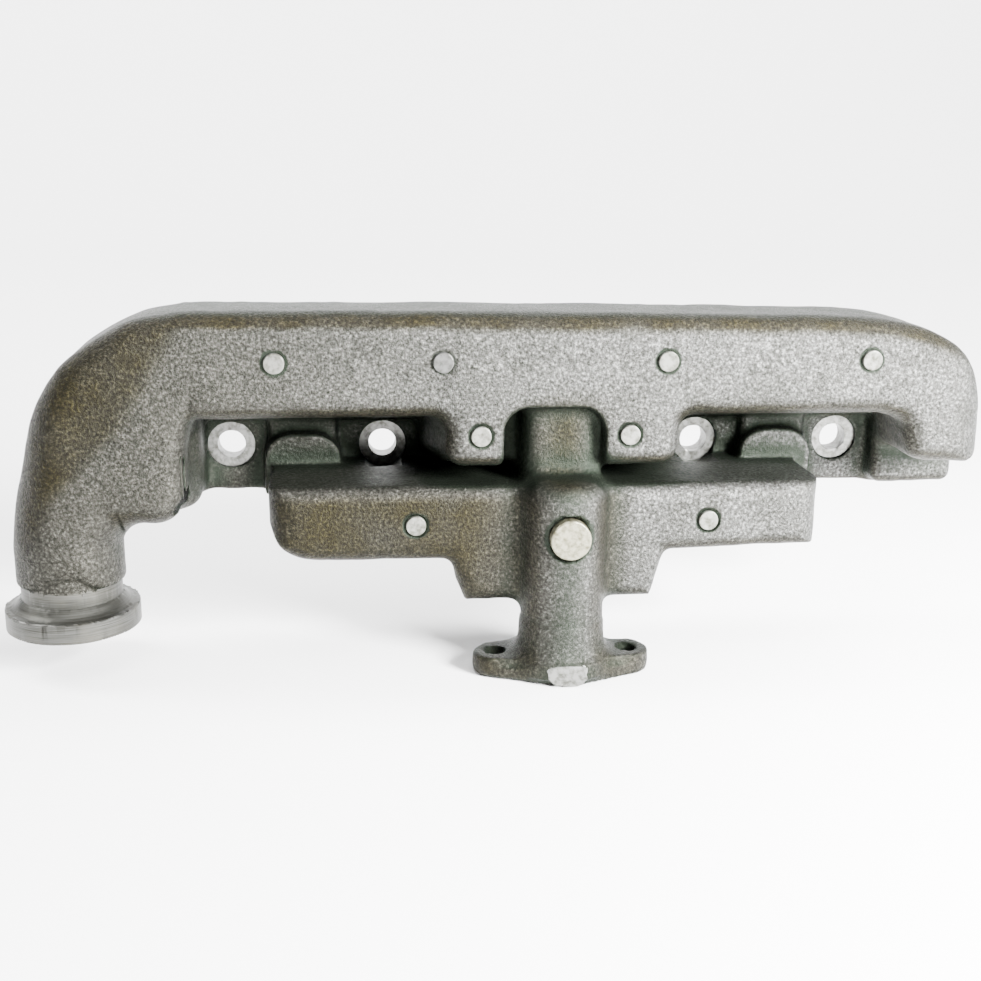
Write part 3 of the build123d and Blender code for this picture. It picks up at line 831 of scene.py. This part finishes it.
def bumped(tree, shader, source, strength, depth, before=None):
    """Raises the surface by a value, on top of any bump before it."""
    node = tree.nodes.new("ShaderNodeBump")
    node.inputs["Strength"].default_value = strength
    node.inputs["Distance"].default_value = depth
    tree.links.new(source, node.inputs["Height"])
    if before:
        tree.links.new(before, node.inputs["Normal"])
    tree.links.new(node.outputs["Normal"], shader.inputs["Normal"])
    return node.outputs["Normal"]


def cast_material():
    """Shot-blasted grey iron: fine bright and dark grains, an olive tint for oil stains and painted shade,
    and painted shade in recesses.
    """
    material, tree, shader = new_material("cast_iron_skin", 0.85, 0.4)
    grain = noise(tree, 760, 4.0, 0.72)
    fine = noise(tree, 1700, 1.5, 0.5)
    patches = noise(tree, 45, 4.0, 0.6)
    skin = ramp(tree, grain, [(0.30, (0.008, 0.008, 0.006)), (0.44, (0.040, 0.040, 0.036)),
                              (0.56, (0.085, 0.085, 0.081)), (0.72, (0.270, 0.270, 0.262))])
    shade = ramp(tree, patches, [(0.32, (0.60, 0.60, 0.57)), (0.66, (1.0, 1.0, 1.0))])
    skin = mixed(tree, 0.8, skin, shade, "MULTIPLY")
    # oil stain and painted shade: the skin takes the olive tint where the mask is high
    stain_and_shade_amount = times(tree, stored(tree, "oil"), remap(tree, patches, 0.30, 0.60, 0.85, 1.0))
    oil_and_shade_colour = mixed(tree, 1.0, skin, OIL_AND_SHADE_TINT, "MULTIPLY")
    skin = mixed(tree, stain_and_shade_amount, skin, oil_and_shade_colour)
    # painted shade: near black where the surface is enclosed
    dark = remap(tree, stored(tree, "recess_shade"), 0.14, 0.50, 0.0, 0.95)
    skin = mixed(tree, dark, skin, RECESS_SHADE_TONE)
    tree.links.new(skin, shader.inputs["Base Color"])
    tree.links.new(remap(tree, grain, 0.35, 0.70, 0.58, 0.38), shader.inputs["Roughness"])
    first = bumped(tree, shader, grain, 0.8, 0.0008)
    bumped(tree, shader, fine, 0.4, 0.0003, first)
    return material


def turned_material():
    """Iron turned in a lathe: fine rings and a soft shine."""
    material, tree, shader = new_material("turned_iron", 0.85, 0.42)
    rings = noise(tree, 60, 2.0, 0.5, (1, 1, 45))
    patches = noise(tree, 60, 3.0, 0.6)
    skin = ramp(tree, rings, [(0.3, (0.030, 0.030, 0.025)), (0.7, (0.085, 0.085, 0.080))])
    skin = mixed(tree, remap(tree, patches, 0.45, 0.8, 0.0, 0.5), skin, (0.10, 0.095, 0.075))
    # painted shade: the turned faces go dark where they are enclosed, as on the cone
    dark = remap(tree, stored(tree, "recess_shade"), 0.35, 0.95, 0.0, 0.85)
    skin = mixed(tree, dark, skin, (0.02, 0.02, 0.016))
    tree.links.new(skin, shader.inputs["Base Color"])
    bumped(tree, shader, rings, 0.25, 0.0002)
    return material


def ground_material(name, light, dark_tone, metallic=0.8):
    """Bright ground or spotfaced metal with a few darker marks."""
    material, tree, shader = new_material(name, metallic, 0.38)
    marks = noise(tree, 380, 3.0, 0.6)
    tree.links.new(ramp(tree, marks, [(0.32, dark_tone), (0.6, light)]), shader.inputs["Base Color"])
    bumped(tree, shader, marks, 0.3, 0.0002)
    return material


cast_skin = cast_material()
turned_skin = turned_material()
ground_skin = ground_material("ground_iron", (0.19, 0.19, 0.18), (0.06, 0.06, 0.05))
chaplet_skin = ground_material("chaplet_steel", (0.20, 0.20, 0.18), (0.06, 0.06, 0.045), 0.7)
plug_skin = ground_material("plug_steel", (0.24, 0.23, 0.165), (0.075, 0.07, 0.04), 0.7)
fused_skin = ground_material("fused_chaplet", (0.12, 0.12, 0.116), (0.045, 0.045, 0.04), 0.8)

for skin in (cast_skin, turned_skin, ground_skin):
    mesh.materials.append(skin)
for name, node in frame["nodes"].items():
    if name == "manifold_casting":
        continue
    skin = plug_skin if name == "riser_plug" else chaplet_skin
    node.data.materials.clear()
    node.data.materials.append(fused_skin if name == "log_front_chaplet_2" else skin)

# ---- floor and backdrop ----
FLOOR_Z = flange_bottom * MM - 0.0005
reach = 7.0
bend_start = 1.6
bend_radius = 1.2
bend_steps = 12
backdrop_top = 4.0
profile = [(-reach, 0.0), (bend_start, 0.0)]
for step in range(1, bend_steps + 1):
    angle = math.radians(90 * step / bend_steps)
    profile.append((bend_start + bend_radius * math.sin(angle), bend_radius - bend_radius * math.cos(angle)))
profile.append((bend_start + bend_radius, backdrop_top))
verts = [(side * reach, y, FLOOR_Z + z) for y, z in profile for side in (-1, 1)]
faces = [(2 * i, 2 * i + 1, 2 * i + 3, 2 * i + 2) for i in range(len(profile) - 1)]
floor_mesh = bpy.data.meshes.new("floor")
floor_mesh.from_pydata(verts, [], faces)
floor_mesh.shade_smooth()
floor = bpy.data.objects.new("floor", floor_mesh)
bpy.context.scene.collection.objects.link(floor)
floor_skin, _, floor_shader = new_material("pale_floor", 0.0, 0.9)
floor_shader.inputs["Base Color"].default_value = (0.93, 0.93, 0.93, 1)
floor_mesh.materials.append(floor_skin)


# ---- light ----
def soft_light(name, place, target, size, power):
    """A square lamp at a place, turned to its target."""
    light = bpy.data.lights.new(name, "AREA")
    light.size = size
    light.energy = power
    lamp = bpy.data.objects.new(name, light)
    lamp.location = place
    lamp.rotation_euler = (Vector(target) - Vector(place)).to_track_quat("-Z", "Y").to_euler()
    bpy.context.scene.collection.objects.link(lamp)


soft_light("key", (0.54, -0.62, 0.32), (0.16, -0.06, 0.0), 0.28, 105)
soft_light("overhead", (-0.1, -0.75, 1.7), (0.0, -0.45, 0.0), 1.3, 40)
soft_light("backdrop_left", (-1.7, 0.6, 2.1), (-0.4, 2.6, 0.5), 1.5, 230)
soft_light("backdrop_right", (1.7, 0.6, 2.1), (0.4, 2.6, 0.5), 1.5, 230)

world = bpy.data.worlds.new("studio")
world.use_nodes = True
world.node_tree.nodes["Background"].inputs["Color"].default_value = (1, 1, 1, 1)
world.node_tree.nodes["Background"].inputs["Strength"].default_value = 0.18
bpy.context.scene.world = world

# ---- camera: a little left of centre, slightly above, level but for a small roll ----
YAW, PITCH, ROLL = 0.115, 0.277, 0.015
SENSOR_WIDTH = 36.0
LENS = 48.5
CAMERA_PLACE = (-0.0922, -0.6098, 0.14725)
camera_data = bpy.data.cameras.new("camera")
camera_data.sensor_width = SENSOR_WIDTH
camera_data.lens = LENS
camera = bpy.data.objects.new("camera", camera_data)
camera.location = CAMERA_PLACE
camera.rotation_mode = "QUATERNION"
turn = Matrix.Rotation(-YAW, 3, "Z") @ Matrix.Rotation(math.pi / 2 - PITCH, 3, "X")
camera.rotation_quaternion = (turn @ Matrix.Rotation(ROLL, 3, "Z")).to_quaternion()
bpy.context.scene.collection.objects.link(camera)
bpy.context.scene.camera = camera
